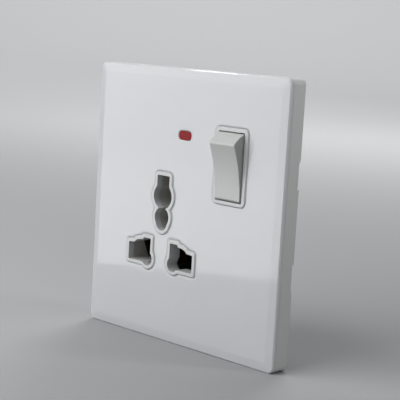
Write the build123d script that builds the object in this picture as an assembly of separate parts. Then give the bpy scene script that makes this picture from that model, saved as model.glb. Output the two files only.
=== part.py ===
from build123d import *
import math
import os

os.makedirs("parts", exist_ok=True)

# Frame: X right, Z up, Y into the wall, origin at the centre of the back plane
# All sizes in mm

# Plate and its layers, counted from the front
PLATE_W = 86.0
PLATE_H = 90.0
PLATE_DEPTH = 7.0
CORNER_R = 2.0
BEVEL_W = 3.0
BEVEL_DROP = 0.45
EDGE_EASE = 0.35
PANEL_T = 1.8
DECK_T = 1.15
SEAM = 0.05
GUIDE_DEPTH = 5.0
FRONT = -PLATE_DEPTH
PANEL_BACK = FRONT + PANEL_T
DECK_FRONT = PANEL_BACK + SEAM
DECK_BACK = DECK_FRONT + DECK_T
INNER_FRONT = DECK_BACK + SEAM
GUIDE_BACK = FRONT + GUIDE_DEPTH

# Carrier walls, hooks and pry notches
WALL = 1.6
NOTCH_Z = 15.5
NOTCH_LENGTH = 8.0
NOTCH_DEPTH = 0.6
NOTCH_RAMP = 1.0
HOOK_X = 20.0
HOOK_W = 6.0
HOOK_T = 1.2
BARB = 0.7

# Wall fixing, to the centres of a standard single box
FIX_SPACING = 60.3
SLOT_R = 2.0
SLOT_LENGTH = 6.0
POCKET_FLOOR = -1.6
POCKET_RIM = 2.3
POCKET_H = 10.0
SLOT_PLATE_T = 0.8

# Function unit: its waist passes between the fixing slots, its shoulders lie above and below
WAIST_HALF_W = FIX_SPACING / 2 - SLOT_LENGTH / 2 - SLOT_R - 0.15
SHOULDER = 3.0
UNIT_HALF_W = WAIST_HALF_W + SHOULDER
UNIT_HALF_H = 30.5
RELIEF_HALF_H = 6.5
FLANGE_GROW = 1.6
UNIT_GAP = 0.3
SHELL = 1.5
DEEP_BACK = 17.5
SWITCH_BACK = 14.0
STEP_X = 14.0

# Socket apertures, about the socket's own centre line and pin line
SOCKET_X = -8.5
PIN_Z = -17.3
PIN_RISE = 22.2
PIN_HALF_SPACING = 11.1
RIM_W = 1.3
RIM_PROUD = 0.4
RIM_EASE = 0.35
PANEL_GAP = 0.08

# Collars of the guide plate and the skirt behind the live aperture
COLLAR_FRONT = -4.9
COLLAR_WALL = 0.8
EARTH_COLLAR_BACK = 1.3
NEUTRAL_COLLAR_BACK = 2.0
RAMP_RISE = 2.7
LIVE_SKIRT_BACK = -2.6

# Contact strips
STRIP = 0.6
BEND_R = 0.7
FLARE = 0.6
JAW_GAP = 4.3
JAW_FRONT = 3.0
LINE_BACK = 10.5
EARTH_BACK = 15.4
BLADE_GAP = 1.8
BLADE_OFFSET = 6.35
SMALL_GAP = 5.0
CLIP_T = 0.4

# Terminals
TERMINAL_X = {"neutral": -20.0, "earth": -6.5, "live": 7.0}
TERMINAL_TOP = -23.3
TERMINAL_BOTTOM = -30.2
TERMINAL_FRONT = 6.8
TERMINAL_SIZE = 8.0
BORE_R = 2.1
BORE_LENGTH = 5.9
BORE_Y = 9.8
CLAMP_R = 1.25

# Rocker and its opening
ROCKER_X = 20.85
ROCKER_Z = 16.15
OPENING_W = 11.1
OPENING_H = 21.8
SURROUND_W = 14.2
SURROUND_H = 24.5
PIVOT_Y = FRONT + 4.1
TILT = 12.4
CAP_R = 11.5
CREST_ANGLE = 51.8
CREST_EASE = 0.9
CAP_END_ANGLE = 80.0
MIDDLE_V = 6.16
SKIN = 1.5
ROCKER_GAP = 0.25
CHAMBER_HALF_H = CAP_R + 0.3
CHAMBER_WALL = 1.0
CHAMBER_BACK = 2.5
TRUNNION_R = 1.4
TRUNNION_LENGTH = 0.9
BEARING_GAP = 0.05

# Plunger and contacts of the switch
TIP_Y = 4.95
PLUNGER_R = 1.5
PLUNGER_GAP = 0.1
SEESAW_GAP = 0.3
SEESAW_T = 0.8
SEESAW_W = 5.0
SEESAW_LENGTH = 16.0
SEESAW_TILT = 6.0
RIVET_R = 1.5
RIVET_T = 0.7
CONTACT_U = 6.3
FIXED_Y = 9.7
BRACKET_Y = 11.5

# Neon window
NEON_X = 0.0
NEON_Z = 23.75
NEON_W = 5.7
NEON_H = 2.9
NEON_CORNER = 1.2
LAMP_Y = 1.2
LAMP_R = 2.1

# Screws that hold the rear housing to the socket moulding
POST_R = 3.0
POST_INSET = 4.6
post_x = UNIT_HALF_W - POST_INSET
post_z = UNIT_HALF_H - POST_INSET - 0.1
POSTS = [(-post_x, post_z), (9.8, post_z), (post_x - 2.9, -post_z + 1.8), (-20.2, -5.2)]
SCREW_R = 1.15
SCREW_HEAD_R = 2.1
SCREW_SEAT = 5.5

# Snap lugs of the rear housing, by place along X and by side, inside the ring's depth
LUGS = [(-12.0, 1), (-12.0, -1), (12.0, -1)]
LUG_W = 6.0
LUG_FRONT = -2.4
LUG_BACK = -0.1
LUG_RISE = 1.1


def slab(face, y_front, y_back):
    """Extrudes a face drawn in X and Z from y_front to y_back."""
    return extrude(Plane.XZ.offset(-y_back) * face, y_back - y_front)


def bar(face, x_low, x_high):
    """Extrudes a face drawn in Y and Z from x_low to x_high."""
    return extrude(Plane.YZ.offset(x_low) * face, x_high - x_low)


def block(x_low, x_high, y_low, y_high, z_low, z_high):
    """A box between two corners."""
    box = Box(x_high - x_low, y_high - y_low, z_high - z_low)
    return Pos((x_low + x_high) / 2, (y_low + y_high) / 2, (z_low + z_high) / 2) * box


def disc(x, z, radius, y_front, y_back):
    """A round bar along Y."""
    return slab(Pos(x, z) * Circle(radius), y_front, y_back)


def pilot(x, z, r, y0, y1):
    """A six-sided bar along Y, for the grip of a screw and the hole that it cuts into."""
    return slab(Pos(x, z) * RegularPolygon(r, 6), y0, y1)


def front_edges(solid, y):
    """The edges that lie wholly in one plane of constant Y."""
    return solid.edges().filter_by_position(Axis.Y, y - 0.001, y + 0.001)


def wire(points, radius):
    """A bent wire with mitred bends."""
    path = Polyline(*points)
    start = Plane(path @ 0, z_dir=path % 0)
    return sweep(start * RegularPolygon(radius, 6), path=path, transition=Transition.RIGHT)


def strip(points, radius=BEND_R, width=STRIP):
    """Edge view of a metal strip, bent through points with rounded corners."""
    return trace(FilletPolyline(*points, radius=radius), line_width=width)


def unit_outline(grow):
    """Outline of the function unit, waisted where the fixing screws pass."""
    outline = Rectangle(2 * (UNIT_HALF_W + grow), 2 * (UNIT_HALF_H + grow))
    for side in (-1, 1):
        relief = Rectangle(20, 2 * (RELIEF_HALF_H - grow))
        outline -= Pos(side * (WAIST_HALF_W + grow + 10), 0) * relief
    return outline


def slot_outline(side, grow=0.0):
    """One fixing slot, long way along X."""
    slot = SlotOverall(SLOT_LENGTH + 2 * grow, 2 * (SLOT_R + grow))
    return Pos(side * FIX_SPACING / 2, 0) * slot


def surround_outline(width, height, grow):
    """A rounded rectangle about the centre of the rocker."""
    radius = (height - OPENING_H) / 4 + 1.2 + grow
    return Pos(ROCKER_X, ROCKER_Z) * RectangleRounded(width + 2 * grow, height + 2 * grow, radius)


def neon_outline(grow):
    """The rounded window of the neon."""
    window = RectangleRounded(NEON_W + 2 * grow, NEON_H + 2 * grow, NEON_CORNER + grow)
    return Pos(NEON_X, NEON_Z) * window


def chamber_outline(grow):
    """The walled space that the rocker swings in."""
    return Pos(ROCKER_X, ROCKER_Z) * Rectangle(OPENING_W + 2 * grow, 2 * (CHAMBER_HALF_H + grow))


# Aperture outlines, each drawn larger by a margin


def earth_outline(grow):
    """A square-topped slot over a round hole, then an oval below a waist."""
    slot = Pos(0, 6.4) * RectangleRounded(5.75 + 2 * grow, 6.8 + 2 * grow, 0.4 + grow)
    hole = Pos(0, 2.93) * Circle(4.25 + grow)
    upper = Pos(0, -4.0) * Circle(3.3 + grow)
    lower = Pos(0, -5.9) * Circle(2.5 + grow)
    oval = make_hull(upper.edges() + lower.edges())
    return Pos(SOCKET_X, 0) * (slot + hole + oval)


def neutral_outline(grow):
    """A stepped slot that rises towards the middle, with a round lobe at its inner foot."""
    slot = Polygon(
        (-15.2, -20.2),
        (-6.15, -20.2),
        (-4.6, -18.75),
        (-4.6, -11.9),
        (-8.05, -11.9),
        (-8.4, -12.65),
        (-10.0, -12.8),
        (-11.7, -13.3),
        (-12.5, -14.1),
        (-15.2, -14.35),
        align=None,
    )
    if grow > 0:
        slot = offset(slot, grow, kind=Kind.INTERSECTION)
    corners = slot.vertices().sort_by(Axis.X)[:2] + slot.vertices().sort_by(Axis.Y)[-2:]
    slot = fillet(corners, 0.4 + grow / 2)
    return Pos(SOCKET_X, 0) * (slot + Pos(-6.15, -18.75) * Circle(2.45 + grow))


def live_outline(grow):
    """The neutral outline mirrored about the socket's centre line."""
    return Pos(2 * SOCKET_X, 0) * mirror(neutral_outline(grow), Plane.YZ)


def raised_rim(outline, hole):
    """A rim that stands proud of the panel, eased round its outside."""
    rim = slab(outline, FRONT - RIM_PROUD, DECK_BACK)
    rim = chamfer(front_edges(rim, FRONT - RIM_PROUD), RIM_EASE)
    return rim - slab(hole, FRONT - 2, DECK_BACK + 1)


apertures = [earth_outline, neutral_outline, live_outline]
surround = surround_outline(SURROUND_W, SURROUND_H, 0)

# Front panel: gloss plate with a wide shallow bevel round its face
face_outline = RectangleRounded(PLATE_W, PLATE_H, CORNER_R)
edge_foot = FRONT + BEVEL_DROP + EDGE_EASE
edge_top = FRONT + BEVEL_DROP * (1 - EDGE_EASE / BEVEL_W)
sections = []
for inset, depth, corner in [
    (0, edge_foot, CORNER_R),
    (EDGE_EASE, edge_top, CORNER_R - EDGE_EASE),
    (BEVEL_W, FRONT, CORNER_R - 1.2),
]:
    outline = RectangleRounded(PLATE_W - 2 * inset, PLATE_H - 2 * inset, corner)
    sections.append(Plane.XZ.offset(-depth) * outline)
front_panel = slab(face_outline, edge_foot, PANEL_BACK)
front_panel += loft(sections, ruled=True)
for outline in apertures:
    front_panel -= slab(outline(RIM_W + PANEL_GAP), FRONT - 1, 0)
front_panel -= slab(surround_outline(SURROUND_W, SURROUND_H, PANEL_GAP), FRONT - 1, 0)
front_panel -= slab(neon_outline(PANEL_GAP), FRONT - 1, 0)

# Cover frame: the snap-on carrier with the side walls, hooks and pry notches
cover_frame = slab(face_outline, DECK_FRONT, 0)
well = RectangleRounded(PLATE_W - 2 * WALL, PLATE_H - 2 * WALL, CORNER_R - 1.2)
cover_frame -= slab(well, DECK_BACK, 1)
cover_frame -= slab(unit_outline(FLANGE_GROW + UNIT_GAP), DECK_FRONT - 1, 1)
notch_top = NOTCH_Z + NOTCH_LENGTH / 2
notch_face = Polygon(
    (-NOTCH_DEPTH, notch_top - NOTCH_LENGTH),
    (1, notch_top - NOTCH_LENGTH),
    (1, notch_top + NOTCH_RAMP),
    (0, notch_top + NOTCH_RAMP),
    (-NOTCH_DEPTH, notch_top),
    align=None,
)
for side in (-1, 1):
    notch = bar(notch_face, side * PLATE_W / 2 - 3, side * PLATE_W / 2 + 3)
    cover_frame -= notch
    cover_frame -= mirror(notch, Plane.XY)
cover_frame -= slab(surround_outline(SURROUND_W, SURROUND_H, UNIT_GAP), DECK_FRONT - 1, 1)
cover_frame -= slab(chamber_outline(CHAMBER_WALL + UNIT_GAP), DECK_FRONT - 1, 1)
hook_top = PLATE_H / 2 - WALL
arm_inside = hook_top - HOOK_T
hook_face = Polygon(
    (DECK_BACK, hook_top),
    (DECK_BACK, arm_inside),
    (-1.5, arm_inside),
    (-1.3, arm_inside - BARB),
    (-0.5, arm_inside),
    (-0.5, hook_top),
    align=None,
)
for side in (-1, 1):
    hook = bar(hook_face, side * HOOK_X - HOOK_W / 2, side * HOOK_X + HOOK_W / 2)
    cover_frame += hook
    cover_frame += mirror(hook, Plane.XY)

# Mounting frame: the ring screwed to the wall box, with slots, pockets and hook notches
FRAME_W = PLATE_W - 2 * WALL - 1.6
FRAME_H = PLATE_H - 2 * WALL - 1.0
mounting_frame = slab(RectangleRounded(FRAME_W, FRAME_H, 2.0), INNER_FRONT, 0)
mounting_frame -= slab(unit_outline(UNIT_GAP), INNER_FRONT - 1, 1)
mounting_frame -= slab(chamber_outline(CHAMBER_WALL + UNIT_GAP), INNER_FRONT - 1, 1)
plate_face = {}
pocket_in = FIX_SPACING / 2 - SLOT_LENGTH / 2 - SLOT_R
pocket_w = FRAME_W / 2 - POCKET_RIM - pocket_in
pocket_x = pocket_in + pocket_w / 2
for side in (-1, 1):
    pocket = Pos(side * pocket_x, 0) * Rectangle(pocket_w, POCKET_H)
    mounting_frame -= slab(pocket, INNER_FRONT - 1, POCKET_FLOOR)
    mounting_frame -= slab(slot_outline(side), INNER_FRONT - 1, 1)
    plate_face[side] = Pos(side * pocket_x, 0) * Rectangle(pocket_w - 2 * UNIT_GAP, POCKET_H - 2 * UNIT_GAP)
    low = side * HOOK_X - HOOK_W / 2 - UNIT_GAP
    high = side * HOOK_X + HOOK_W / 2 + UNIT_GAP
    notch = block(low, high, -5, 1, arm_inside - UNIT_GAP, PLATE_H)
    notch += block(low, high, -1.8, 1, arm_inside - BARB - UNIT_GAP, PLATE_H)
    mounting_frame -= notch
    mounting_frame -= mirror(notch, Plane.XY)

for x, side in LUGS:
    rebate = block(
        x - LUG_W / 2 - UNIT_GAP, x + LUG_W / 2 + UNIT_GAP, LUG_FRONT - UNIT_GAP, 1,
        UNIT_HALF_H - 1, UNIT_HALF_H + LUG_RISE + UNIT_GAP,
    )
    mounting_frame -= rebate if side > 0 else mirror(rebate, Plane.XY)

# Slot plates: steel strips that the fixing screws bear on
slot_plates = []
for side in (-1, 1):
    plate = slab(plate_face[side], POCKET_FLOOR - SLOT_PLATE_T, POCKET_FLOOR)
    plate -= slab(slot_outline(side), -5, 1)
    plate -= slab(unit_outline(UNIT_GAP + 0.1), -5, 1)
    plate -= slab(chamber_outline(CHAMBER_WALL + UNIT_GAP + 0.1), -5, 1)
    slot_plates += plate.solids()
slot_plates = Compound(children=slot_plates)

# Socket moulding: flange, raised rims, rocker surround, rocker chamber and screw bosses
socket_body = slab(unit_outline(FLANGE_GROW), DECK_FRONT, DECK_BACK)
opening = surround_outline(OPENING_W, OPENING_H, 0)
socket_body += slab(chamber_outline(CHAMBER_WALL), DECK_FRONT, CHAMBER_BACK)
for outline in apertures:
    socket_body -= slab(outline(0), FRONT - 2, 1)
socket_body -= slab(opening, FRONT - 2, DECK_BACK + 1)
for outline in apertures:
    socket_body += raised_rim(outline(RIM_W), outline(0))
socket_body += raised_rim(surround, opening)
swing = Pos(PIVOT_Y, ROCKER_Z) * Circle(CHAMBER_HALF_H)
socket_body -= bar(swing, ROCKER_X - OPENING_W / 2, ROCKER_X + OPENING_W / 2)
socket_body -= slab(chamber_outline(0), PIVOT_Y, CHAMBER_BACK + 1)
socket_body -= slab(neon_outline(0), FRONT - 2, 1)
for x, z in POSTS:
    socket_body += disc(x, z, POST_R, DECK_BACK, SCREW_SEAT - SHELL - SEAM)
    socket_body -= pilot(x, z, SCREW_R + SEAM, DECK_BACK + 1, 10)
bearing = Pos(PIVOT_Y, ROCKER_Z) * Circle(TRUNNION_R + BEARING_GAP)
bearing_end = OPENING_W / 2 + CHAMBER_WALL
socket_body -= bar(bearing, ROCKER_X - bearing_end, ROCKER_X + bearing_end)
for outline in (earth_outline, neutral_outline):
    socket_body -= slab(outline(COLLAR_WALL + 2 * SEAM), COLLAR_FRONT - SEAM, DECK_BACK + 1)
socket_body += slab(live_outline(COLLAR_WALL) - live_outline(0), DECK_BACK, LIVE_SKIRT_BACK)

# Guide plate: darker second layer, with collars that lead the earth and neutral pins inwards
guide_plate = slab(unit_outline(-SHELL - UNIT_GAP), INNER_FRONT, GUIDE_BACK)
guide_plate -= block(ROCKER_X - OPENING_W / 2 - CHAMBER_WALL - UNIT_GAP, 40, -9, 9, -40, 40)
guide_plate += slab(earth_outline(COLLAR_WALL + SEAM), COLLAR_FRONT, EARTH_COLLAR_BACK)
guide_plate += slab(neutral_outline(COLLAR_WALL + SEAM), COLLAR_FRONT, NEUTRAL_COLLAR_BACK)
ramp = Polygon(
    (NEUTRAL_COLLAR_BACK + 0.1, PIN_Z - 3.5),
    (NEUTRAL_COLLAR_BACK + 0.1, PIN_Z + 8),
    (NEUTRAL_COLLAR_BACK - RAMP_RISE, PIN_Z + 8),
    (NEUTRAL_COLLAR_BACK - RAMP_RISE, PIN_Z + 3.0),
    align=None,
)
guide_plate -= bar(ramp, SOCKET_X - 18, SOCKET_X - 2.5)
guide_plate -= slab(earth_outline(SEAM), -9, 9)
guide_plate -= slab(neutral_outline(SEAM), -9, 9)
guide_plate -= slab(live_outline(COLLAR_WALL + 2 * SEAM), -9, 9)
guide_plate -= slab(Pos(NEON_X, NEON_Z) * Rectangle(NEON_W + 2.6, NEON_H + 2.6), -9, 9)
for x, z in POSTS:
    guide_plate -= disc(x, z, POST_R + UNIT_GAP, -9, 9)
corner_x, corner_z = POSTS[0]
guide_plate -= block(-40, corner_x + POST_R + UNIT_GAP, -9, 9, corner_z - POST_R - UNIT_GAP, 40)

# Neon lens with its retaining flange, glass lamp, resistor and leads
LENS_SINK = 0.05
lens_face = neon_outline(-SEAM)
neon_lens = slab(lens_face, FRONT + LENS_SINK, INNER_FRONT)
lens_flange = Pos(NEON_X, NEON_Z) * Rectangle(NEON_W + 2.0, NEON_H + 2.0)
neon_lens += slab(lens_flange, INNER_FRONT, GUIDE_BACK - 0.8)
lamp_face = Pos(LAMP_Y, NEON_Z) * Circle(LAMP_R)
neon_lamp = bar(lamp_face, NEON_X - 3.6, NEON_X + 4.5)
neon_lamp += Pos(NEON_X - 3.6, LAMP_Y, NEON_Z) * Sphere(LAMP_R)
resistor_face = Pos(LAMP_Y, NEON_Z) * Circle(1.2)
dropper_resistor = bar(resistor_face, NEON_X - 13.0, NEON_X - 7.5)
blade_x = SOCKET_X - BLADE_OFFSET - BLADE_GAP / 2 - STRIP / 2
JAW_TOP = PIN_Z + JAW_GAP / 2 + STRIP
BLADE_TOP = JAW_TOP + 2.1
LEAD_R = 0.35
lead_start = NEON_X - 3.6 - LAMP_R
lead_one = wire([(lead_start, LAMP_Y, NEON_Z), (NEON_X - 7.5, LAMP_Y, NEON_Z)], LEAD_R)
lead_two = wire(
    [
        (NEON_X - 13.0, LAMP_Y, NEON_Z),
        (blade_x, LAMP_Y, NEON_Z),
        (blade_x, 8.0, NEON_Z),
        (blade_x, 8.0, BLADE_TOP),
    ],
    LEAD_R,
)
lead_three = wire(
    [
        (NEON_X + 4.5, LAMP_Y, NEON_Z),
        (NEON_X + 5.3, LAMP_Y, NEON_Z),
        (NEON_X + 5.3, LAMP_Y, NEON_Z - 4.0),
        (NEON_X + 10.2, LAMP_Y, NEON_Z - 4.0),
        (NEON_X + 10.2, FIXED_Y, NEON_Z - 4.0),
    ],
    LEAD_R,
)
neon_leads = Compound(children=[s for lead in (lead_one, lead_two, lead_three) for s in lead.solids()])

# Line contacts: bent strips, flat jaws for wide pins beside upright jaws for blades
mouth = JAW_FRONT + STRIP / 2


def jaw_line(centre, gap, back, flare):
    """Points of a U as (depth, side), with its mouths flared to lead a pin in."""
    side = (gap + STRIP) / 2
    points = [(mouth, centre + side + flare), (mouth + 1.4, centre + side), (back, centre + side)]
    if flare == 0:
        points.pop(1)
    return points + [(deep, 2 * centre - across) for deep, across in reversed(points)]


def upright(points, z_low, z_high, width=STRIP):
    """A strip bent in plan, standing between two heights."""
    plan = strip([(across, deep) for deep, across in points], width=width)
    return extrude(Plane.XY.offset(z_low) * plan, z_high - z_low)


jaw_low = SOCKET_X - PIN_HALF_SPACING - 3.5
jaw_high = SOCKET_X - BLADE_OFFSET - BLADE_GAP / 2 - STRIP - 0.1
blade_centre = SOCKET_X - BLADE_OFFSET
back = LINE_BACK + STRIP / 2
line_contact = bar(strip(jaw_line(PIN_Z, JAW_GAP, back, FLARE)), jaw_low, jaw_high)
line_contact += upright(jaw_line(blade_centre, BLADE_GAP, back, 0), PIN_Z - 3.6, BLADE_TOP)
line_contact += block(jaw_high - 1.5, blade_centre, LINE_BACK, LINE_BACK + STRIP, PIN_Z - 1.5, PIN_Z + 1.5)
neutral_contact = line_contact + block(
    jaw_low, jaw_low + 2.5, LINE_BACK, LINE_BACK + STRIP, TERMINAL_TOP, PIN_Z
)
live_contact = mirror(line_contact, Plane.YZ.offset(SOCKET_X))
live_contact += block(5.0, 12.0, LINE_BACK, LINE_BACK + STRIP, PIN_Z - 1.7, PIN_Z + 1.7)

# Earth contact: upright jaws for the long pin, a smaller pair below, and a cranked tail
earth_z = PIN_Z + PIN_RISE
small_z = PIN_Z + 11.9
back = EARTH_BACK + STRIP / 2
earth_contact = upright(jaw_line(SOCKET_X, JAW_GAP, back, FLARE), earth_z - 4.0, earth_z + 4.0)
earth_contact += upright(jaw_line(SOCKET_X, SMALL_GAP, back, 0), small_z - 2.5, small_z + 2.5)
earth_contact += block(
    SOCKET_X - 1.5, SOCKET_X + 1.5, EARTH_BACK, EARTH_BACK + STRIP, small_z, earth_z
)
tail_low = TERMINAL_X["earth"] - 3.2
tail_high = TERMINAL_X["earth"] - 0.6
tail = [(back, small_z), (back, -20.8), (back - 2.0, -20.8), (back - 2.0, TERMINAL_TOP)]
earth_contact += bar(strip(tail), tail_low, tail_high)

# Spring clips: steel staples pressed over the line jaws
clip_side = JAW_GAP / 2 + STRIP + SEAM + CLIP_T / 2
clip_back = LINE_BACK + STRIP + SEAM + CLIP_T / 2
clip_line = [
    (JAW_FRONT + 2.4, PIN_Z + clip_side),
    (clip_back, PIN_Z + clip_side),
    (clip_back, PIN_Z - clip_side),
    (JAW_FRONT + 2.4, PIN_Z - clip_side),
]
clip = bar(strip(clip_line, width=CLIP_T), jaw_low + 2.9, jaw_high - 0.2)
other_clip = mirror(clip, Plane.YZ.offset(SOCKET_X))
spring_clips = Compound(children=[*clip.solids(), *other_clip.solids()])

# Terminal blocks with a cable bore from below and a clamp screw from behind
CLAMP_Z = (TERMINAL_TOP + TERMINAL_BOTTOM) / 2
TERMINAL_BACK = TERMINAL_FRONT + TERMINAL_SIZE
terminals = {}
screws = []
for name, x in TERMINAL_X.items():
    half = TERMINAL_SIZE / 2
    body = block(x - half, x + half, TERMINAL_FRONT, TERMINAL_BACK, TERMINAL_BOTTOM, TERMINAL_TOP)
    body = chamfer(body.edges().filter_by(Axis.Y), 0.5)
    bore = Pos(x, BORE_Y, TERMINAL_BOTTOM + BORE_LENGTH / 2) * Cylinder(BORE_R, BORE_LENGTH)
    body -= bore
    body -= disc(x, CLAMP_Z, CLAMP_R + SEAM, BORE_Y, TERMINAL_BACK + 1)
    terminals[name] = body
    screw = disc(x, CLAMP_Z, CLAMP_R, BORE_Y + BORE_R + 0.2, TERMINAL_BACK + 0.5)
    screw += disc(x, CLAMP_Z, 2.5, TERMINAL_BACK + 0.3, TERMINAL_BACK + 1.9)
    screw -= block(x - 3, x + 3, TERMINAL_BACK + 1.1, TERMINAL_BACK + 3, CLAMP_Z - 0.4, CLAMP_Z + 0.4)
    screws += screw.solids()
terminal_screws = Compound(children=screws)

# Rear housing: black box in two depths, with an open terminal bay at the foot
BAY_TOP = TERMINAL_TOP + 0.3
BAY_FLOOR = TERMINAL_FRONT - 0.3
BAY_X = 12.0
outer = fillet(unit_outline(0).vertices(), 0.8)
inner = unit_outline(-SHELL)
left_of_step = Pos(STEP_X - PLATE_W, 0) * Rectangle(2 * PLATE_W, 2 * PLATE_H)
left_inner = Pos(STEP_X - SHELL - PLATE_W, 0) * Rectangle(2 * PLATE_W, 2 * PLATE_H)
rear_housing = slab(outer, INNER_FRONT, SWITCH_BACK)
rear_housing += slab(outer & left_of_step, SWITCH_BACK, DEEP_BACK)
cavity = slab(inner, INNER_FRONT - 1, SWITCH_BACK - SHELL)
cavity += slab(inner & left_inner, SWITCH_BACK - SHELL - 1, DEEP_BACK - SHELL)
cavity -= block(-PLATE_W, BAY_X + SHELL, BAY_FLOOR - SHELL, PLATE_W, -PLATE_H, BAY_TOP + SHELL)
rear_housing -= cavity
rear_housing -= block(-PLATE_W, BAY_X, BAY_FLOOR, PLATE_W, -PLATE_H, BAY_TOP)
for rib_x in (-26.4, -13.25, 0.25):
    rear_housing += block(rib_x - 0.6, rib_x + 0.6, BAY_FLOOR, DEEP_BACK, -UNIT_HALF_H, BAY_TOP)
for x, z in POSTS:
    back = DEEP_BACK if x < STEP_X else SWITCH_BACK
    rear_housing += disc(x, z, POST_R, SCREW_SEAT - SHELL, back)
for x, z in POSTS:
    rear_housing -= disc(x, z, SCREW_HEAD_R + 0.3, SCREW_SEAT, DEEP_BACK + 1)
    rear_housing -= pilot(x, z, SCREW_R + 0.2, INNER_FRONT - 1, DEEP_BACK + 1)
chamber_cut = chamber_outline(CHAMBER_WALL + UNIT_GAP) + Pos(ROCKER_X + 4.5, ROCKER_Z + 3.5) * Rectangle(10, 24)
rear_housing -= slab(chamber_cut, -9, CHAMBER_BACK + 0.2)
rear_housing -= block(jaw_low - 0.2, jaw_low + 2.7, LINE_BACK - 0.2, LINE_BACK + STRIP + 0.2, -24, -20)
rear_housing -= block(tail_low - 0.2, tail_high + 0.2, EARTH_BACK - 2.2, EARTH_BACK - 1.2, -24, -20)
lug_face = Polygon(
    (LUG_FRONT, UNIT_HALF_H - 0.1),
    (LUG_BACK, UNIT_HALF_H - 0.1),
    (LUG_BACK, UNIT_HALF_H),
    (LUG_FRONT + 0.2, UNIT_HALF_H + LUG_RISE),
    (LUG_FRONT, UNIT_HALF_H + LUG_RISE),
    align=None,
)
for x, side in LUGS:
    lug = bar(lug_face, x - LUG_W / 2, x + LUG_W / 2)
    rear_housing += lug if side > 0 else mirror(lug, Plane.XY)

# Live path of the switch: bracket from the terminal to the knife edge
SEESAW_BACK = TIP_Y + SEESAW_GAP + SEESAW_T
RIDGE_R = 0.5
half_w = SEESAW_W / 2 - 0.5
live_x = TERMINAL_X["live"] - 1.0
bracket_line = [(live_x, TERMINAL_TOP), (live_x, -18.2), (ROCKER_X, -18.2), (ROCKER_X, ROCKER_Z + 1.0)]
common_bracket = slab(strip(bracket_line, 2.0, 2 * half_w), BRACKET_Y, BRACKET_Y + 0.7)
ridge_y = SEESAW_BACK + SEESAW_GAP + RIDGE_R
ridge = Pos(ridge_y, ROCKER_Z) * Circle(RIDGE_R)
ridge += Pos((ridge_y + BRACKET_Y) / 2, ROCKER_Z) * Rectangle(BRACKET_Y - ridge_y, 2 * RIDGE_R)
common_bracket += bar(ridge, ROCKER_X - half_w, ROCKER_X + half_w)
rear_housing -= block(live_x - half_w - 0.2, live_x + half_w + 0.2, BRACKET_Y - 0.2, BRACKET_Y + 0.9, -24, -20)

# See-saw contact and its rivet, tilted as the closed switch leaves them
seesaw_turn = Pos(ROCKER_X, SEESAW_BACK, ROCKER_Z) * Rot(-SEESAW_TILT, 0, 0)
moving_contact = block(-SEESAW_W / 2, SEESAW_W / 2, -SEESAW_T, 0, -SEESAW_LENGTH / 2, SEESAW_LENGTH / 2)
moving_contact = fillet(moving_contact.edges().filter_by(Axis.Y), 1.0)
moving_contact = seesaw_turn * moving_contact
moving_rivet = seesaw_turn * disc(0, CONTACT_U, RIVET_R, 0, RIVET_T)
rivet_angle = math.radians(SEESAW_TILT)
rivet_face = SEESAW_BACK + (CONTACT_U + RIVET_R) * math.sin(rivet_angle) + RIVET_T * math.cos(rivet_angle)
rivet_z = ROCKER_Z + CONTACT_U * math.cos(rivet_angle)
fixed_rivet = disc(ROCKER_X, rivet_z, RIVET_R, rivet_face + 0.3, FIXED_Y)
fixed_line = [(10.3, PIN_Z - 1.7), (10.3, 20.4), (ROCKER_X, 20.4)]
fixed_face = strip(fixed_line, 2.0, 3.4) + Pos(ROCKER_X, rivet_z) * Circle(2.5)
fixed_contact = slab(fixed_face, FIXED_Y, LINE_BACK)

# Rocker: concave face between two round caps, hollow behind, with a plunger tube


def cap_point(degrees):
    """A point on the round cap, at an angle from the rocker's outward axis."""
    angle = math.radians(degrees)
    return (-CAP_R * math.cos(angle), CAP_R * math.sin(angle))


def flip(point):
    """The same point on the lower half."""
    return (point[0], -point[1])


crest = cap_point(CREST_ANGLE)
cap_mid = cap_point((CREST_ANGLE + CAP_END_ANGLE) / 2)
cap_end = cap_point(CAP_END_ANGLE)
face_arc = ThreePointArc(flip(crest), (-MIDDLE_V, 0), crest)
upper_cap = ThreePointArc(crest, cap_mid, cap_end)
lower_cap = ThreePointArc(flip(cap_end), flip(cap_mid), flip(crest))
underside = Polyline(cap_end, (2.4, 4.0), (2.4, -4.0), flip(cap_end))
profile = make_face([face_arc, upper_cap, underside, lower_cap])
half_rocker = OPENING_W / 2 - ROCKER_GAP
rocker = bar(profile, -half_rocker, half_rocker)
inside_r = CAP_R - SKIN
hollow_face = [
    (-MIDDLE_V + SKIN, 0),
    (-MIDDLE_V + SKIN - 0.6, 0.74 * crest[1]),
    (-1.0, inside_r - 0.15),
    (6.0, inside_r - 0.15),
]
hollow_line = hollow_face[::-1] + [flip(point) for point in hollow_face[1:]]
hollow = make_face(Polyline(*hollow_line, hollow_line[0]))
rocker -= bar(hollow, -half_rocker + SKIN, half_rocker - SKIN)


def along_rocker(radius, v_front, v_back):
    """A round bar about the rocker's own outward axis, between two depths."""
    return Pos(0, (v_front + v_back) / 2, 0) * Rot(90, 0, 0) * Cylinder(radius, v_back - v_front)


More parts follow.
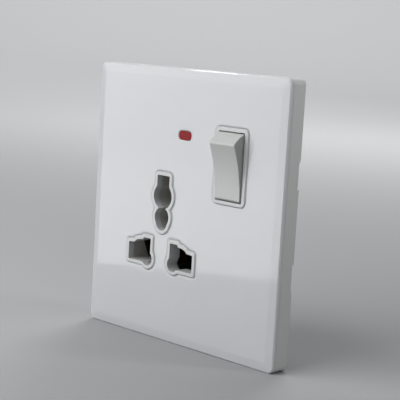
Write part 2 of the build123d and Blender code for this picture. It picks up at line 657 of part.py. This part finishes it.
tip_v = TIP_Y - PIVOT_Y
tube_end = tip_v - 2.8
bore_top = -MIDDLE_V + SKIN + 0.6
rocker += along_rocker(PLUNGER_R + 1.1, -MIDDLE_V + 1.2, tube_end)
rocker -= along_rocker(PLUNGER_R + PLUNGER_GAP, bore_top, tube_end + 1)
for side in (-1, 1):
    rocker += Pos(side * (half_rocker + TRUNNION_LENGTH / 2), 0, 0) * Rot(0, 90, 0) * Cylinder(TRUNNION_R, TRUNNION_LENGTH)
long_edges = rocker.edges().filter_by(Axis.X).group_by(Axis.Y)[0]
rocker = fillet(long_edges, CREST_EASE)
rocker_turn = Pos(ROCKER_X, PIVOT_Y, ROCKER_Z) * Rot(TILT, 0, 0)
rocker = rocker_turn * rocker

# Plunger and its coil spring inside the tube
plunger_top = tube_end - 2.2
ball_v = tip_v - PLUNGER_R
plunger = along_rocker(PLUNGER_R, plunger_top, ball_v) + Pos(0, ball_v, 0) * Sphere(PLUNGER_R)
plunger = rocker_turn * plunger
coil_length = plunger_top - bore_top - 0.7
coil_path = Helix(pitch=2.0, height=coil_length, radius=PLUNGER_R - 0.45)
coil_start = Plane(coil_path @ 0, z_dir=coil_path % 0)
coil = sweep(coil_start * RegularPolygon(0.23, 6), path=coil_path)
plunger_spring = rocker_turn * Pos(0, plunger_top - 0.35, 0) * Rot(90, 0, 0) * coil

# Assembly screws
assembly = []
for x, z in POSTS:
    screw = pilot(x, z, SCREW_R, -2.0, SCREW_SEAT + 0.5)
    screw += disc(x, z, SCREW_HEAD_R, SCREW_SEAT + SEAM, SCREW_SEAT + 1.7)
    screw -= block(x - 3, x + 3, SCREW_SEAT + 1.1, SCREW_SEAT + 3, z - 0.35, z + 0.35)
    assembly += screw.solids()
assembly_screws = Compound(children=assembly)

parts = {
    "front_panel": front_panel,
    "cover_frame": cover_frame,
    "mounting_frame": mounting_frame,
    "slot_plates": slot_plates,
    "socket_body": socket_body,
    "guide_plate": guide_plate,
    "neon_lens": neon_lens,
    "neon_lamp": neon_lamp,
    "dropper_resistor": dropper_resistor,
    "neon_leads": neon_leads,
    "rocker": rocker,
    "plunger": plunger,
    "plunger_spring": plunger_spring,
    "moving_contact": moving_contact,
    "moving_rivet": moving_rivet,
    "common_bracket": common_bracket,
    "fixed_contact": fixed_contact,
    "fixed_rivet": fixed_rivet,
    "live_contact": live_contact,
    "neutral_contact": neutral_contact,
    "earth_contact": earth_contact,
    "spring_clips": spring_clips,
    "live_terminal": terminals["live"],
    "neutral_terminal": terminals["neutral"],
    "earth_terminal": terminals["earth"],
    "terminal_screws": terminal_screws,
    "assembly_screws": assembly_screws,
    "rear_housing": rear_housing,
}
for name, shape in parts.items():
    export_step(shape, f"parts/{name}.step")
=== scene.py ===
import math

import bmesh
import bpy
import numpy as np
from mathutils import Matrix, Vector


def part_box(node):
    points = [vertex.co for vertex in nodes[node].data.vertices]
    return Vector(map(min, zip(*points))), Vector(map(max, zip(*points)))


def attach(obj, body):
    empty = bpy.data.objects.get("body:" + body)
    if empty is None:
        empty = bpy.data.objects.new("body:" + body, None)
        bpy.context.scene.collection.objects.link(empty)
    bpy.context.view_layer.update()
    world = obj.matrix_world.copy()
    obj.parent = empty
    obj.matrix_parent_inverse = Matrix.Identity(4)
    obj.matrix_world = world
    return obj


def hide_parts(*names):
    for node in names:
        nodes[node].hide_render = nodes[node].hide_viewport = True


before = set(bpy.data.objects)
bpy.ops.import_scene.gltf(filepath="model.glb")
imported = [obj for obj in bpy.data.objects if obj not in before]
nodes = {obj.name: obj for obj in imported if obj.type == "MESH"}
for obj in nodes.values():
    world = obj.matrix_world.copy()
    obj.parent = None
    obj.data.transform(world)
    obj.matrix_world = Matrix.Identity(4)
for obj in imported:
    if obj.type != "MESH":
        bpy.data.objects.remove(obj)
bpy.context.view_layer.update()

# Front plate: one gloss moulding in white urea, pressed in a polished tool.
# Its wide edge bevel is shallow, and the face shows the faintest flow of the
# moulding powder under a hard clear skin.


def moulded_finish():
    """Node group: tone and roughness drift with slow noise, and height follows fine noise."""
    group = bpy.data.node_groups.new("moulded_finish", "ShaderNodeTree")
    number, colour = "NodeSocketFloat", "NodeSocketColor"
    takes = [("Flow scale", number), ("Flow amount", number), ("Grain scale", number),
             ("Colour", colour), ("Roughness", number), ("Roughness spread", number)]
    gives = [("Colour", colour), ("Roughness", number), ("Height", number)]
    for label, kind in takes:
        group.interface.new_socket(label, in_out="INPUT", socket_type=kind)
    for label, kind in gives:
        group.interface.new_socket(label, in_out="OUTPUT", socket_type=kind)

    tree, link = group.nodes, group.links.new
    given = tree.new("NodeGroupInput")
    place = tree.new("ShaderNodeTexCoord")
    flow = tree.new("ShaderNodeTexNoise")
    flow.inputs["Detail"].default_value = 3
    flow.inputs["Distortion"].default_value = 0.6
    grain = tree.new("ShaderNodeTexNoise")
    grain.inputs["Detail"].default_value = 4
    for noise, scale in [(flow, "Flow scale"), (grain, "Grain scale")]:
        link(place.outputs["Object"], noise.inputs["Vector"])
        link(given.outputs[scale], noise.inputs["Scale"])
    centred = tree.new("ShaderNodeMath")
    centred.operation = "SUBTRACT"
    link(flow.outputs["Fac"], centred.inputs[0])
    centred.inputs[1].default_value = 0.5
    drift = tree.new("ShaderNodeMath")
    drift.operation = "MULTIPLY_ADD"
    link(centred.outputs[0], drift.inputs[0])
    link(given.outputs["Flow amount"], drift.inputs[1])
    drift.inputs[2].default_value = 1.0
    tone = tree.new("ShaderNodeVectorMath")
    tone.operation = "SCALE"
    link(given.outputs["Colour"], tone.inputs[0])
    link(drift.outputs[0], tone.inputs["Scale"])
    rough = tree.new("ShaderNodeMath")
    rough.operation = "MULTIPLY_ADD"
    link(flow.outputs["Fac"], rough.inputs[0])
    link(given.outputs["Roughness spread"], rough.inputs[1])
    link(given.outputs["Roughness"], rough.inputs[2])
    out = tree.new("NodeGroupOutput")
    link(tone.outputs[0], out.inputs["Colour"])
    link(rough.outputs[0], out.inputs["Roughness"])
    link(grain.outputs["Fac"], out.inputs["Height"])
    return group


MOULDED = moulded_finish()
SCATTER_DEPTH = 0.001
SCATTER_TINT = (1.0, 0.9, 0.8)
COAT_ROUGHNESS = 0.02
RELIEF_STRENGTH = 0.4
EDGE_SAMPLES = 6


def finish(name, colour, roughness, bump, edge=0.0, flow=30.0, drift=0.03, grain=900.0,
           spread=0.05, coat=0.0, metallic=0.0, specular=0.5, scatter=0.0):
    """Material with the moulded finish.

    Bump is the height of the grain and edge the radius that softens the corners, in
    metres. Scatter is the share of light that spreads under the surface.
    """
    made = bpy.data.materials.new(name)
    made.use_nodes = True
    tree, link = made.node_tree.nodes, made.node_tree.links.new
    shader = tree["Principled BSDF"]
    shader.inputs["Metallic"].default_value = metallic
    shader.inputs["Coat Weight"].default_value = coat
    shader.inputs["Coat Roughness"].default_value = COAT_ROUGHNESS
    shader.inputs["Specular IOR Level"].default_value = specular
    shader.inputs["Subsurface Weight"].default_value = scatter
    shader.inputs["Subsurface Radius"].default_value = SCATTER_TINT
    shader.inputs["Subsurface Scale"].default_value = SCATTER_DEPTH
    surface = tree.new("ShaderNodeGroup")
    surface.node_tree = MOULDED
    surface.inputs["Flow scale"].default_value = flow
    surface.inputs["Flow amount"].default_value = drift
    surface.inputs["Grain scale"].default_value = grain
    surface.inputs["Colour"].default_value = (*colour, 1)
    surface.inputs["Roughness"].default_value = roughness
    surface.inputs["Roughness spread"].default_value = spread
    relief = tree.new("ShaderNodeBump")
    relief.inputs["Strength"].default_value = RELIEF_STRENGTH
    relief.inputs["Distance"].default_value = bump
    link(surface.outputs["Height"], relief.inputs["Height"])
    if edge:
        corner = tree.new("ShaderNodeBevel")
        corner.samples = EDGE_SAMPLES
        corner.inputs["Radius"].default_value = edge
        link(corner.outputs["Normal"], relief.inputs["Normal"])
    link(surface.outputs["Colour"], shader.inputs["Base Color"])
    link(surface.outputs["Roughness"], shader.inputs["Roughness"])
    link(relief.outputs["Normal"], shader.inputs["Normal"])
    return made


def dress(material, *names):
    """Gives CAD nodes a material, slot by slot."""
    for name in names:
        for place in nodes[name].material_slots:
            place.material = material


PLATE_WHITE = (0.606, 0.613, 0.626)
PLATE_EDGE = 0.0013
CREASE_R = 0.0012
CREASE_BLEND = 0.0002
CREASE_SAMPLES = 8


def easier_crease(material, box):
    """Rounds the inner crease of the edge bevel wide, and keeps the outer edge tight.

    The mask rises from 0 to 1 over CREASE_BLEND either side of the line that lies
    PLATE_EDGE inside the outline: it takes the larger of |x| less half the width and
    |z| less half the height. The crease's wide rounding shows where the mask is 0.
    """
    tree, link = material.node_tree.nodes, material.node_tree.links.new
    middle = (np.array(box[0]) + np.array(box[1])) / 2
    half = (np.array(box[1]) - np.array(box[0])) / 2
    place = tree.new("ShaderNodeTexCoord")
    apart = tree.new("ShaderNodeSeparateXYZ")
    link(place.outputs["Object"], apart.inputs[0])
    reach = []
    for axis in (0, 2):
        shifted = tree.new("ShaderNodeMath")
        shifted.operation = "SUBTRACT"
        link(apart.outputs[axis], shifted.inputs[0])
        shifted.inputs[1].default_value = middle[axis]
        size = tree.new("ShaderNodeMath")
        size.operation = "ABSOLUTE"
        link(shifted.outputs[0], size.inputs[0])
        inset = tree.new("ShaderNodeMath")
        inset.operation = "SUBTRACT"
        link(size.outputs[0], inset.inputs[0])
        inset.inputs[1].default_value = half[axis] - PLATE_EDGE
        reach.append(inset)
    nearest = tree.new("ShaderNodeMath")
    nearest.operation = "MAXIMUM"
    link(reach[0].outputs[0], nearest.inputs[0])
    link(reach[1].outputs[0], nearest.inputs[1])
    mask = tree.new("ShaderNodeMapRange")
    mask.inputs["From Min"].default_value = -CREASE_BLEND
    mask.inputs["From Max"].default_value = CREASE_BLEND
    link(nearest.outputs[0], mask.inputs["Value"])
    wide = tree.new("ShaderNodeBevel")
    wide.samples = CREASE_SAMPLES
    wide.inputs["Radius"].default_value = CREASE_R
    relief = next(node for node in tree if node.bl_idname == "ShaderNodeBump")
    tight = next(node for node in tree if node.bl_idname == "ShaderNodeBevel" and node != wide)
    blend = tree.new("ShaderNodeMix")
    blend.data_type = "VECTOR"
    link(mask.outputs["Result"], blend.inputs["Factor"])
    link(wide.outputs["Normal"], blend.inputs["A"])
    link(tight.outputs["Normal"], blend.inputs["B"])
    link(blend.outputs["Result"], relief.inputs["Normal"])


gloss_white = finish("gloss_white", PLATE_WHITE, roughness=0.07, bump=0.000002, edge=0.00005,
                     drift=0.02, spread=0.03, coat=0.3, scatter=0.6)
easier_crease(gloss_white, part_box("front_panel"))
dress(gloss_white, "front_panel")

# Carrier and ring: the same white thermoset, off the tool a little duller. The
# carrier clips over the ring with four hooks, and its walls are the plate's sides.
CARRIER_WHITE = (0.60, 0.605, 0.595)
satin_white = finish("satin_white", CARRIER_WHITE, roughness=0.26, bump=0.000006, edge=0.00015,
                     coat=0.15)
dress(satin_white, "cover_frame")
ring_white = finish("ring_white", (0.55, 0.55, 0.53), roughness=0.42, bump=0.00002,
                    edge=0.0002, grain=2500.0)
dress(ring_white, "mounting_frame")

# Socket moulding: one white piece whose raised rims come through the plate round
# the apertures and the rocker. Their edges are eased, as a tool leaves them.
rim_white = finish("rim_white", (0.55, 0.56, 0.56), roughness=0.2, bump=0.000003, edge=0.00012,
                   coat=0.3, scatter=0.6)
dress(rim_white, "socket_body")

# Guide plate: a moulding behind the face, seen down the apertures. Its darker grey is
# painted shade, standing in for the dark of the deeper walls there. Its collars lead the
# pins in, and its walls are left matt.
# darker grey here is painted shade for the deep walls of the apertures
guide_grey = finish("guide_grey", (0.385, 0.38, 0.37), roughness=0.5, bump=0.00001,
                    edge=0.00015)
dress(guide_grey, "guide_plate")

# Rocker: white moulding with a hollow face between two round caps, turning on
# trunnions in the walls of its chamber. It is a shade greyer than the plate.
ROCKER_WHITE = (0.500, 0.513, 0.497)
rocker_white = finish("rocker_white", ROCKER_WHITE, roughness=0.38, bump=0.000005, edge=0.0003,
                      flow=90.0, coat=0.05, scatter=0.3)
dress(rocker_white, "rocker")

# Plunger and spring: a slick natural nylon pin, pushed out of the rocker's tube
# by a small coil of spring wire, so that it snaps over the see-saw contact.
ROCKER_TILT = math.radians(12.4)
AXIS_X = 0.02085
AXIS_Y = -0.0029
AXIS_Z = 0.01615
SPRING_INNER = -0.00371
SPRING_OUTER = 0.0025
COIL_R = 0.00105
WIRE_R = 0.0002
COIL_TURNS = 6.0
SEAT_TURNS = 0.9
COIL_STEPS = 145
WIRE_SIDES = 12
SMOOTH_ANGLE = math.radians(35)


def add_object(name, data):
    """Object of the data, linked to the scene."""
    made = bpy.data.objects.new(name, data)
    bpy.context.scene.collection.objects.link(made)
    return made


def smooth_object(name, mesh):
    """Object of the mesh, shaded smooth across edges flatter than SMOOTH_ANGLE."""
    mesh.shade_smooth()
    mesh.set_sharp_from_angle(angle=SMOOTH_ANGLE)
    return add_object(name, mesh)


def tube_mesh(name, rings, open_end=False):
    """Mesh of rings of points: quads between rings, and one flat face at each closed end."""
    count, around = rings.shape[:2]
    index = np.arange(count * around).reshape(count, around)
    after = np.roll(index, -1, axis=1)
    faces = np.stack([index[:-1], index[1:], after[1:], after[:-1]], axis=-1)
    ends = [index[0].tolist()] + ([] if open_end else [index[-1][::-1].tolist()])
    mesh = bpy.data.meshes.new(name)
    mesh.from_pydata(rings.reshape(-1, 3).tolist(), [], faces.reshape(-1, 4).tolist() + ends)
    shape = bmesh.new()
    shape.from_mesh(mesh)
    bmesh.ops.recalc_face_normals(shape, faces=shape.faces)
    shape.to_mesh(mesh)
    shape.free()
    return smooth_object(name, mesh)


def coil_rings():
    """Wire circle carried along a helix.

    The helix climbs by one wire a turn in its first and last SEAT_TURNS, so that the
    ends lie flat, and evenly between. Its axis leans back by the rocker's tilt.
    """
    turn = np.linspace(0, COIL_TURNS, COIL_STEPS)
    seated = np.minimum(turn, SEAT_TURNS) + np.maximum(turn - (COIL_TURNS - SEAT_TURNS), 0)
    free = turn - seated
    seat_rise = 2 * WIRE_R * SEAT_TURNS
    free_rise = SPRING_OUTER - SPRING_INNER - 2 * WIRE_R - 2 * seat_rise
    along = (SPRING_INNER + WIRE_R + 2 * WIRE_R * seated
             + free_rise * free / (COIL_TURNS - 2 * SEAT_TURNS))
    angle = 2 * math.pi * turn
    out = np.stack([np.cos(angle), np.sin(angle)], axis=-1)
    path = np.concatenate([COIL_R * out, along[:, None]], axis=1)
    ahead = np.gradient(path, axis=0)
    ahead /= np.linalg.norm(ahead, axis=1, keepdims=True)
    radial = np.concatenate([out, np.zeros((len(turn), 1))], axis=1)
    across = np.cross(ahead, radial)
    phase = np.linspace(0, 2 * math.pi, WIRE_SIDES, endpoint=False)[None, :, None]
    local = path[:, None] + WIRE_R * (np.cos(phase) * radial[:, None]
                                      + np.sin(phase) * across[:, None])
    lean, rise = math.cos(ROCKER_TILT), math.sin(ROCKER_TILT)
    return np.stack([AXIS_X + local[..., 0],
                     AXIS_Y + local[..., 2] * lean - local[..., 1] * rise,
                     AXIS_Z + local[..., 2] * rise + local[..., 1] * lean], axis=-1)


nylon = finish("plunger_nylon", (0.66, 0.64, 0.58), roughness=0.35, bump=0.000008)
dress(nylon, "plunger")
spring_steel = finish("spring_steel", (0.42, 0.42, 0.43), roughness=0.3, bump=0.00001,
                      drift=0.2, metallic=1.0)
dress(spring_steel, "spring_clips")
coil = tube_mesh("wound_plunger_spring", coil_rings())
coil.data.materials.append(spring_steel)
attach(coil, "rocker")
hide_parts("plunger_spring")

# Neon window: red tinted plastic that sits flush in the plate, over a glass lamp
# with its resistor and leads.
lens_red = finish("lens_red", (0.215, 0.004, 0.006), roughness=0.3, bump=0.000002,
                  edge=0.00025, flow=700.0, drift=0.4, specular=0.2)
dress(lens_red, "neon_lens")
lamp_glass = finish("lamp_glass", (0.75, 0.70, 0.66), roughness=0.06, bump=0.000003, drift=0.1)
lamp_glass.node_tree.nodes["Principled BSDF"].inputs["Transmission Weight"].default_value = 0.8
dress(lamp_glass, "neon_lamp")
resistor_blue = finish("resistor_body", (0.16, 0.22, 0.27), roughness=0.4, bump=0.00001,
                       drift=0.2)
dress(resistor_blue, "dropper_resistor")
tinned = finish("tinned_wire", (0.62, 0.62, 0.60), roughness=0.32, bump=0.00001, metallic=1.0,
                drift=0.2)
dress(tinned, "neon_leads")

# Contacts: brass strip, stamped, bent and left as it comes from the press, with
# the grain of the rolling and a little dulling from handling.
brass_strip = finish("brass_strip", (0.58, 0.40, 0.16), roughness=0.3, bump=0.00001,
                     drift=0.25, metallic=1.0, flow=220.0, grain=1800.0, spread=0.12)
dress(brass_strip, "live_contact", "neutral_contact", "earth_contact", "common_bracket",
      "fixed_contact", "moving_contact")
silver_rivet = finish("silver_rivet", (0.72, 0.71, 0.69), roughness=0.26, bump=0.000008,
                      drift=0.15, metallic=1.0)
dress(silver_rivet, "moving_rivet", "fixed_rivet")

# Terminals: machined brass blocks, bored from below for the cable and tapped
# from behind for the clamp screw.
brass_block = finish("brass_block", (0.60, 0.43, 0.18), roughness=0.24, bump=0.000008,
                     edge=0.0001, drift=0.15, metallic=1.0, flow=400.0, grain=2600.0,
                     spread=0.1)
dress(brass_block, "live_terminal", "neutral_terminal", "earth_terminal")

# Slot plates: zinc-plated steel strips let into the ring, stamped with the slots
# that the wall screws bear on.
plated_steel = finish("plated_steel", (0.62, 0.61, 0.57), roughness=0.3, bump=0.00001,
                      edge=0.0001, drift=0.25, metallic=1.0, flow=260.0, spread=0.15)
dress(plated_steel, "slot_plates")

# Screws: three clamp screws in the terminals and four that hold the housing. Each has
# a crowned cheese head with a milled slot and a rolled thread, and is zinc-plated.
CLAMP_PLACES = ((-0.0200, -0.02675), (-0.0065, -0.02675), (0.0070, -0.02675))
CLAMP_SIZES = {"head_r": 0.0025, "seat": 0.0151, "top": 0.0167, "slot": 0.0004,
               "slot_floor": 0.0159, "shank_r": 0.00125, "tip": 0.0121, "pitch": 0.0006,
               "taper": 0.0004}
BODY_PLACES = ((-0.0234, 0.0258), (0.0098, 0.0258), (0.0205, -0.0240), (-0.0202, -0.0052))
BODY_SIZES = {"head_r": 0.0021, "seat": 0.00555, "top": 0.0072, "slot": 0.00035,
              "slot_floor": 0.0066, "shank_r": 0.00115, "tip": -0.0020, "pitch": 0.0010,
              "taper": 0.0018}
CROWN = 0.00025
THREAD_DEPTH = 0.22
FIRST_TURN = 25.0
SLOT_TURN = 47.0
HEAD_STEPS = 9
HEAD_ROWS = 15
HEAD_FLAT = math.radians(4)
SLOT_MARGIN = 1.3
SHANK_SIDES = 24
THREAD_STEPS = 8
TUCK = 0.0001
BLUNT_TIP = 0.15


def head_rings(head_r, seat, top, slot, slot_floor):
    """Columns across the slot, each a closed loop of a flat underside and a crowned top.

    A column at x is as wide as the circle there, and the outermost stand HEAD_FLAT
    round from the ends, so that none shrinks to a point. The top falls by CROWN times
    the square of the radius over head_r. Slot is half the slot's width: two columns at
    each edge make its wall, and others within SLOT_MARGIN times slot are left out.
    """
    cap = np.linspace(HEAD_FLAT, math.pi / 2, HEAD_STEPS)
    outer = head_r * np.cos(cap)
    outer = np.concatenate([outer[outer > slot * SLOT_MARGIN], [slot, slot]])
    x = np.concatenate([-outer, [0.0], outer[::-1]])
    milled = np.concatenate([np.zeros(len(outer) - 1), [1, 1, 1], np.zeros(len(outer) - 1)])
    half = np.sqrt(head_r ** 2 - x ** 2)
    share = np.sin(np.linspace(-1, 1, HEAD_ROWS) * math.pi / 2)
    y = half[:, None] * share
    crowned = top - CROWN * (x[:, None] ** 2 + y ** 2) / head_r ** 2
    upper = np.where(milled[:, None] > 0, slot_floor, crowned)
    under = np.full((len(x), 2), seat)
    width = np.concatenate([y[:, ::-1], np.stack([-half, half], axis=1)], axis=1)
    level = np.concatenate([upper[:, ::-1], under], axis=1)
    return np.stack([np.broadcast_to(x[:, None], width.shape), width, level], axis=-1)


def shank_rings(seat, shank_r, tip, pitch, taper):
    """Circles along the shank, from the tip to TUCK inside the head.

    The thread is a triangle wave of the level over the pitch plus the share of a turn,
    THREAD_DEPTH of the radius deep. Over the taper the radius grows from BLUNT_TIP.
    """
    steps = int((seat - tip) / pitch * THREAD_STEPS) + 2
    level = np.linspace(tip, seat + TUCK, steps)[:, None]
    angle = np.linspace(0, 2 * math.pi, SHANK_SIDES, endpoint=False)[None, :]
    phase = (level / pitch + angle / (2 * math.pi)) % 1.0
    cut = THREAD_DEPTH * np.abs(2 * phase - 1)
    point = np.clip((level - tip) / taper, BLUNT_TIP, 1.0)
    radius = shank_r * (1 - cut) * point
    return np.stack([radius * np.cos(angle), radius * np.sin(angle),
                     np.broadcast_to(level, radius.shape)], axis=-1)


def slotted_screws(name, places, sizes, replaced):
    """One piece of like screws, each turned to its own angle and pointing back along +Y."""
    parts = []
    head = {key: sizes[key] for key in ("head_r", "seat", "top", "slot", "slot_floor")}
    shank = {key: sizes[key] for key in ("seat", "shank_r", "tip", "pitch", "taper")}
    for number, (x, z) in enumerate(places):
        spin = math.radians(FIRST_TURN + SLOT_TURN * number)
        for rings in (head_rings(**head), shank_rings(**shank)):
            u = rings[..., 0] * math.cos(spin) - rings[..., 1] * math.sin(spin)
            w = rings[..., 0] * math.sin(spin) + rings[..., 1] * math.cos(spin)
            placed = np.stack([x + u, rings[..., 2], z + w], axis=-1)
            parts.append(tube_mesh(name + "_part", placed))
    joined = bmesh.new()
    for part in parts:
        joined.from_mesh(part.data)
        bpy.data.objects.remove(part)
    mesh = bpy.data.meshes.new(name)
    joined.to_mesh(mesh)
    joined.free()
    made = smooth_object(name, mesh)
    mesh.materials.append(plated_steel)
    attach(made, "fixed")
    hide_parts(replaced)


slotted_screws("slotted_clamp_screws", CLAMP_PLACES, CLAMP_SIZES, "terminal_screws")
slotted_screws("slotted_body_screws", BODY_PLACES, BODY_SIZES, "assembly_screws")

# Rear housing: black moulding with a fine spark-eroded texture, in two depths,
# open at its foot where the cables come in. Its black is partly painted shade: it
# keeps the depths seen down the apertures dark.
# black partly stands in as painted shade for the dark inside the apertures
housing_black = finish("housing_black", (0.018, 0.018, 0.02), roughness=0.44, bump=0.00004,
                       edge=0.0002, grain=3200.0, drift=0.3, spread=0.12)
dress(housing_black, "rear_housing")

# Floor and backdrop: one pale sheet, level under the object and swept up to a wall
# all round it, so that every view has the same ground.
FLOOR_Z = -0.045
FLOOR_R = 1.0
SWEEP_R = 2.4
WALL_TOP = 3.2
MIDDLE_R = 0.05
SWEEP_STEPS = 25
BOWL_SIDES = 96
PAPER = (0.35, 0.355, 0.36)


def pale_bowl():
    """Profile of floor, quarter circle and wall, turned about the upright axis."""
    turn = np.linspace(0, math.pi / 2, SWEEP_STEPS)
    reach = np.concatenate([[MIDDLE_R], FLOOR_R + SWEEP_R * np.sin(turn), [FLOOR_R + SWEEP_R]])
    height = np.concatenate([[0.0], SWEEP_R * (1 - np.cos(turn)), [WALL_TOP]]) + FLOOR_Z
    angle = np.linspace(0, 2 * math.pi, BOWL_SIDES, endpoint=False)[None, :]
    reach = reach[:, None]
    return np.stack([reach * np.cos(angle), reach * np.sin(angle),
                     np.broadcast_to(height[:, None], (len(height), angle.size))], axis=-1)


backdrop = tube_mesh("pale_backdrop", pale_bowl(), open_end=True)
paper = finish("pale_paper", PAPER, roughness=0.7, bump=0.00005, flow=2.0, drift=0.02,
               grain=60.0, specular=0.0)
backdrop.data.materials.append(paper)

# Camera: the photograph's own viewpoint, well to the right and slightly above, found
# by fitting the plate's corners. A long lens keeps the sides nearly parallel.
LENS = 110.24
EYE = (0.27948, -0.28132, 0.05730)
RIGHT = (0.70442, 0.70741, 0.05793)
UP = (-0.13752, 0.05596, 0.98892)
BACKWARD = (0.69633, -0.70458, 0.13670)


def stand(item, right, up, backward, place):
    """Turns a camera or light so that it looks against backward, and puts it at place."""
    rows = [(right[i], up[i], backward[i], place[i]) for i in range(3)]
    item.matrix_world = Matrix(rows + [(0, 0, 0, 1)])


lens = bpy.data.cameras.new("camera")
lens.lens = LENS
lens.sensor_width = 36.0
lens.clip_start = 0.01
camera = add_object("camera", lens)
stand(camera, RIGHT, UP, BACKWARD, EYE)
bpy.context.scene.camera = camera

# Light: a soft key above on the left, one from behind, two on the backdrop, a small
# one for the side wall and a low sky. The card is seen only as the bright line that
# the gloss plate reflects.
KEY_TINT = (0.985, 0.992, 1.0)
SIDE_SPREAD = math.radians(60)
SKY = (0.86, 0.88, 0.90, 1)
SKY_STRENGTH = 0.09


def soft_box(name, place, target, width, height, power, glossy_only=False):
    """Area light at place that faces target, with its width level.

    Sizes are in metres and power in watts. A glossy_only light shows in reflections
    alone.
    """
    lamp = bpy.data.lights.new(name, "AREA")
    lamp.shape = "RECTANGLE"
    lamp.size, lamp.size_y = width, height
    lamp.energy = power
    made = add_object(name, lamp)
    place, target = np.array(place), np.array(target)
    away = (place - target) / np.linalg.norm(place - target)
    side = np.cross((0, 0, 1), away)
    side = side / np.linalg.norm(side)
    stand(made, side, np.cross(away, side), away, place)
    made.visible_diffuse = not glossy_only
    made.visible_camera = False
    return made


key = soft_box("key", place=(-0.13, -0.33, 0.30), target=(0, 0, 0),
               width=0.5, height=0.5, power=2.68)
key.visible_glossy = False
key.data.color = KEY_TINT
soft_box("backdrop_light", place=(-0.9, 0.9, 1.6), target=(-1.9, 1.95, 0.1),
         width=1.6, height=1.6, power=52)
back = soft_box("back_light", place=(-0.45, 0.8, 0.6), target=(0, 0, 0),
                width=0.5, height=0.5, power=5)
back.visible_glossy = False
soft_box("front_floor_light", place=(0.9, -1.3, 1.6), target=(1.9, -2.6, 0.1),
         width=1.6, height=1.6, power=30)
side = soft_box("side_light", place=(0.24, 0.13, 0.14), target=(0.043, 0, 0.052),
                width=0.06, height=0.06, power=0.032)
side.data.spread = SIDE_SPREAD
soft_box("card", place=(-0.0669, -0.1084, 0.0525), target=(-0.0126, -0.0244, 0.0525),
         width=0.16, height=0.195, power=0.155, glossy_only=True)
world = bpy.data.worlds.new("studio")
world.use_nodes = True
sky = world.node_tree.nodes["Background"]
sky.inputs["Color"].default_value = SKY
sky.inputs["Strength"].default_value = SKY_STRENGTH
bpy.context.scene.world = world
bpy.context.scene.view_settings.view_transform = "Standard"
